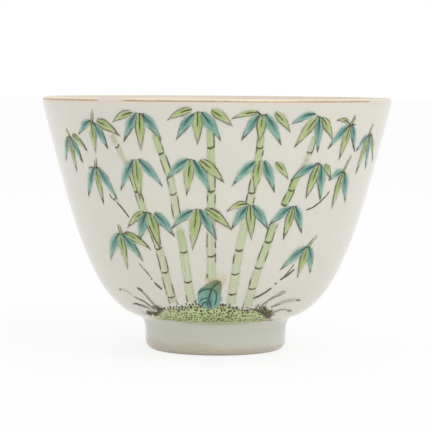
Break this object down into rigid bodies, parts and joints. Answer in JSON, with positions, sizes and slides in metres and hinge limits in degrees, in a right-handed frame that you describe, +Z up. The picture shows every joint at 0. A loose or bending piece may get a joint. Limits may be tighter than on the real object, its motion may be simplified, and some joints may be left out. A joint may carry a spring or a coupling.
{
  "type": "teacup",
  "caption": "Handle-less porcelain teacup on a foot ring: flared bowl, clear glaze, gilded lip and a bamboo grove in raised enamels.",
  "frame": {"origin": "centre of the foot ring's contact circle, on the table", "axes": "+Z up along the turning axis, -Y towards the painted front, +X to the right of it"},
  "size_m": [0.0796, 0.0798, 0.0576],
  "materials": {
    "porcelain_body": "matte",
    "glaze": "gloss",
    "gilt": "satin",
    "leaf_enamel": "gloss",
    "culm_enamel": "gloss",
    "teal_enamel": "gloss",
    "mound_enamel": "gloss",
    "grass_enamel": "gloss",
    "twig_enamel": "gloss"
  },
  "bodies": {
    "root": {"base_glaze": "glaze", "bowl_wall": "porcelain_body", "broad_leaf": "teal_enamel", "crown_spray_1": "leaf_enamel", "crown_spray_2": "leaf_enamel", "crown_spray_3": "leaf_enamel", "crown_spray_4": "leaf_enamel", "crown_spray_5": "leaf_enamel", "crown_spray_6": "leaf_enamel", "crown_spray_7": "leaf_enamel", "crown_spray_8": "leaf_enamel", "culm_1": "culm_enamel", "culm_2": "culm_enamel", "culm_3": "culm_enamel", "culm_4": "culm_enamel", "culm_5": "culm_enamel", "earth_mound": "mound_enamel", "foot_ring": "porcelain_body", "gilt_rim": "gilt", "grass_left": "grass_enamel", "grass_right": "grass_enamel", "inner_glaze": "glaze", "low_spray_1": "leaf_enamel", "low_spray_2": "leaf_enamel", "low_spray_3": "leaf_enamel", "low_spray_4": "leaf_enamel", "middle_spray_1": "leaf_enamel", "middle_spray_2": "leaf_enamel", "middle_spray_3": "leaf_enamel", "middle_spray_4": "leaf_enamel", "middle_spray_5": "leaf_enamel", "middle_spray_6": "leaf_enamel", "outer_glaze": "glaze", "side_spray_left": "leaf_enamel", "side_spray_right": "leaf_enamel", "twig_left_high": "twig_enamel", "twig_left_low": "twig_enamel", "twig_right_high": "twig_enamel", "twig_right_low": "twig_enamel"}
  },
  "joints": []
}
